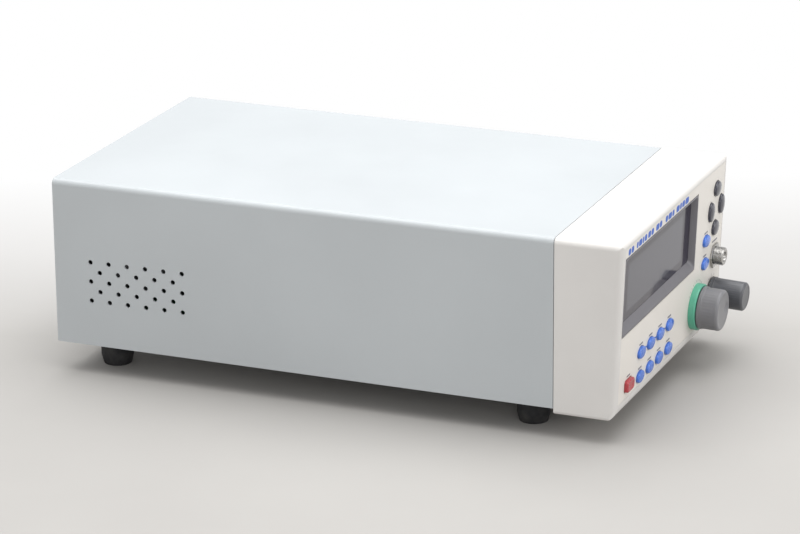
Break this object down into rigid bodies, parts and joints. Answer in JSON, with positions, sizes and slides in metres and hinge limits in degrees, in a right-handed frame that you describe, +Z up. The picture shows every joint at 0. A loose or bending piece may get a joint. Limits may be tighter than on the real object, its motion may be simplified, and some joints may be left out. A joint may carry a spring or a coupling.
{
  "type": "spectrum analyzer",
  "caption": "Long bench measuring instrument: painted sheet-metal cabinet, moulded front with wide display window, oval keys, two knobs, vented side and a rear fan.",
  "frame": {"origin": "on the table, under the middle of the whole instrument's box", "axes": "+Z up, -Y out of the front panel towards the operator, +X to the operator's right"},
  "size_m": [0.272, 0.5434, 0.17],
  "materials": {
    "cover_paint": "fine satin powder coat, cool blue grey",
    "zinc_steel": "zinc plated sheet",
    "screw_steel": "bright plated",
    "front_plastic": "fine moulded texture, warm beige",
    "panel_label": "matt cream panel label",
    "window_surround": "mid grey moulded",
    "smoked_window": "smoked glossy acrylic",
    "lcd_parts": "dark glass and steel frame",
    "blue_key": "satin blue",
    "dark_key": "glossy dark grey",
    "red_button": "satin red",
    "green_collar": "satin green",
    "knob_grey": "smooth satin mid grey",
    "knob_dark": "smooth satin dark grey",
    "shaft_steel": "turned",
    "connector_nickel": "nickel plated",
    "contact_gold": "gold plated",
    "insulator_white": "white fluoropolymer",
    "black_plastic": "moulded black",
    "board_green": "solder-masked board",
    "tin_plate": "tinned sheet",
    "transformer_core": "varnished laminations",
    "fan_grey": "moulded charcoal",
    "guard_chrome": "plated wire",
    "foot_rubber": "moulded rubber",
    "bail_steel": "nickel plated bar",
    "post_brass": "turned brass"
  },
  "bodies": {
    "chassis": {"cover_shell": "cover_paint", "cover_screws": "screw_steel", "chassis_tray": "zinc_steel", "front_subpanel": "zinc_steel", "rear_panel": "cover_paint", "rear_screws": "screw_steel", "front_bezel": "front_plastic", "front_overlay": "panel_label", "display_frame": "window_surround", "display_window": "smoked_window", "lcd_module": "lcd_parts", "key_board": "board_green", "key_switches": "black_plastic", "tuning_collar": "green_collar", "tuning_encoder": "shaft_steel", "level_pot": "shaft_steel", "panel_nuts": "connector_nickel", "rf_input_body": "connector_nickel", "rf_input_insulator": "insulator_white", "rf_input_contact": "contact_gold", "power_switch": "black_plastic", "main_board": "board_green", "board_standoffs": "shaft_steel", "rf_shield_can": "tin_plate", "rf_shield_lid": "tin_plate", "power_supply_board": "board_green", "mains_transformer": "transformer_core", "fan_frame": "fan_grey", "fan_guard": "guard_chrome", "iec_inlet_body": "black_plastic", "iec_pins": "connector_nickel", "rear_bnc_jacks": "connector_nickel", "serial_connector": "connector_nickel", "ground_post": "post_brass", "front_feet": "foot_rubber", "rear_feet": "foot_rubber", "foot_screws": "screw_steel"},
    "tuning_knob_body": {"tuning_knob": "knob_grey", "tuning_shaft": "shaft_steel"},
    "level_knob_body": {"level_knob": "knob_dark", "level_shaft": "shaft_steel"},
    "function_key_1_body": {"function_key_1": "blue_key"},
    "function_key_2_body": {"function_key_2": "blue_key"},
    "function_key_3_body": {"function_key_3": "blue_key"},
    "function_key_4_body": {"function_key_4": "blue_key"},
    "function_key_5_body": {"function_key_5": "blue_key"},
    "function_key_6_body": {"function_key_6": "blue_key"},
    "function_key_7_body": {"function_key_7": "blue_key"},
    "function_key_8_body": {"function_key_8": "blue_key"},
    "menu_key_body": {"menu_key": "blue_key"},
    "enter_key_body": {"enter_key": "blue_key"},
    "cursor_up_body": {"cursor_up": "dark_key"},
    "cursor_down_body": {"cursor_down": "dark_key"},
    "cursor_left_body": {"cursor_left": "dark_key"},
    "cursor_right_body": {"cursor_right": "dark_key"},
    "power_button_body": {"power_button": "red_button"},
    "fan_rotor_body": {"fan_rotor": "fan_grey"},
    "fuse_drawer_body": {"fuse_drawer": "black_plastic"},
    "tilt_bail_body": {"tilt_bail": "bail_steel"}
  },
  "joints": [
    {"name": "tuning_turn", "type": "hinge", "parent": "chassis", "child": "tuning_knob_body", "pos_m": [0.067, -0.23924, 0.05411], "axis": [0, -0.999, -0.0436], "continuous": true},
    {"name": "level_turn", "type": "hinge", "parent": "chassis", "child": "level_knob_body", "pos_m": [0.109, -0.23924, 0.05411], "axis": [0, -0.999, -0.0436], "range_deg": [-150, 150]},
    {"name": "function_key_1_press", "type": "slide", "parent": "chassis", "child": "function_key_1_body", "axis": [0, 0.999, 0.0436], "range_m": [0, 0.0012], "stiffness_N_per_m": 300, "springref_m": -0.001},
    {"name": "function_key_2_press", "type": "slide", "parent": "chassis", "child": "function_key_2_body", "axis": [0, 0.999, 0.0436], "range_m": [0, 0.0012], "stiffness_N_per_m": 300, "springref_m": -0.001},
    {"name": "function_key_3_press", "type": "slide", "parent": "chassis", "child": "function_key_3_body", "axis": [0, 0.999, 0.0436], "range_m": [0, 0.0012], "stiffness_N_per_m": 300, "springref_m": -0.001},
    {"name": "function_key_4_press", "type": "slide", "parent": "chassis", "child": "function_key_4_body", "axis": [0, 0.999, 0.0436], "range_m": [0, 0.0012], "stiffness_N_per_m": 300, "springref_m": -0.001},
    {"name": "function_key_5_press", "type": "slide", "parent": "chassis", "child": "function_key_5_body", "axis": [0, 0.999, 0.0436], "range_m": [0, 0.0012], "stiffness_N_per_m": 300, "springref_m": -0.001},
    {"name": "function_key_6_press", "type": "slide", "parent": "chassis", "child": "function_key_6_body", "axis": [0, 0.999, 0.0436], "range_m": [0, 0.0012], "stiffness_N_per_m": 300, "springref_m": -0.001},
    {"name": "function_key_7_press", "type": "slide", "parent": "chassis", "child": "function_key_7_body", "axis": [0, 0.999, 0.0436], "range_m": [0, 0.0012], "stiffness_N_per_m": 300, "springref_m": -0.001},
    {"name": "function_key_8_press", "type": "slide", "parent": "chassis", "child": "function_key_8_body", "axis": [0, 0.999, 0.0436], "range_m": [0, 0.0012], "stiffness_N_per_m": 300, "springref_m": -0.001},
    {"name": "menu_key_press", "type": "slide", "parent": "chassis", "child": "menu_key_body", "axis": [0, 0.999, 0.0436], "range_m": [0, 0.0012], "stiffness_N_per_m": 300, "springref_m": -0.001},
    {"name": "enter_key_press", "type": "slide", "parent": "chassis", "child": "enter_key_body", "axis": [0, 0.999, 0.0436], "range_m": [0, 0.0012], "stiffness_N_per_m": 300, "springref_m": -0.001},
    {"name": "cursor_up_press", "type": "slide", "parent": "chassis", "child": "cursor_up_body", "axis": [0, 0.999, 0.0436], "range_m": [0, 0.0012], "stiffness_N_per_m": 300, "springref_m": -0.001},
    {"name": "cursor_down_press", "type": "slide", "parent": "chassis", "child": "cursor_down_body", "axis": [0, 0.999, 0.0436], "range_m": [0, 0.0012], "stiffness_N_per_m": 300, "springref_m": -0.001},
    {"name": "cursor_left_press", "type": "slide", "parent": "chassis", "child": "cursor_left_body", "axis": [0, 0.999, 0.0436], "range_m": [0, 0.0012], "stiffness_N_per_m": 300, "springref_m": -0.001},
    {"name": "cursor_right_press", "type": "slide", "parent": "chassis", "child": "cursor_right_body", "axis": [0, 0.999, 0.0436], "range_m": [0, 0.0012], "stiffness_N_per_m": 300, "springref_m": -0.001},
    {"name": "power_button_press", "type": "slide", "parent": "chassis", "child": "power_button_body", "axis": [0, 0.999, 0.0436], "range_m": [0, 0.003], "stiffness_N_per_m": 250, "springref_m": -0.002},
    {"name": "fan_spin", "type": "hinge", "parent": "chassis", "child": "fan_rotor_body", "pos_m": [-0.06, 0.2557, 0.102], "axis": [0, 1, 0], "continuous": true},
    {"name": "fuse_drawer_slide", "type": "slide", "parent": "chassis", "child": "fuse_drawer_body", "axis": [0, 1, 0], "range_m": [0, 0.018]},
    {"name": "bail_swing", "type": "hinge", "parent": "chassis", "child": "tilt_bail_body", "pos_m": [0, -0.1503, 0.015], "axis": [1, 0, 0], "range_deg": [-100, 0]}
  ]
}
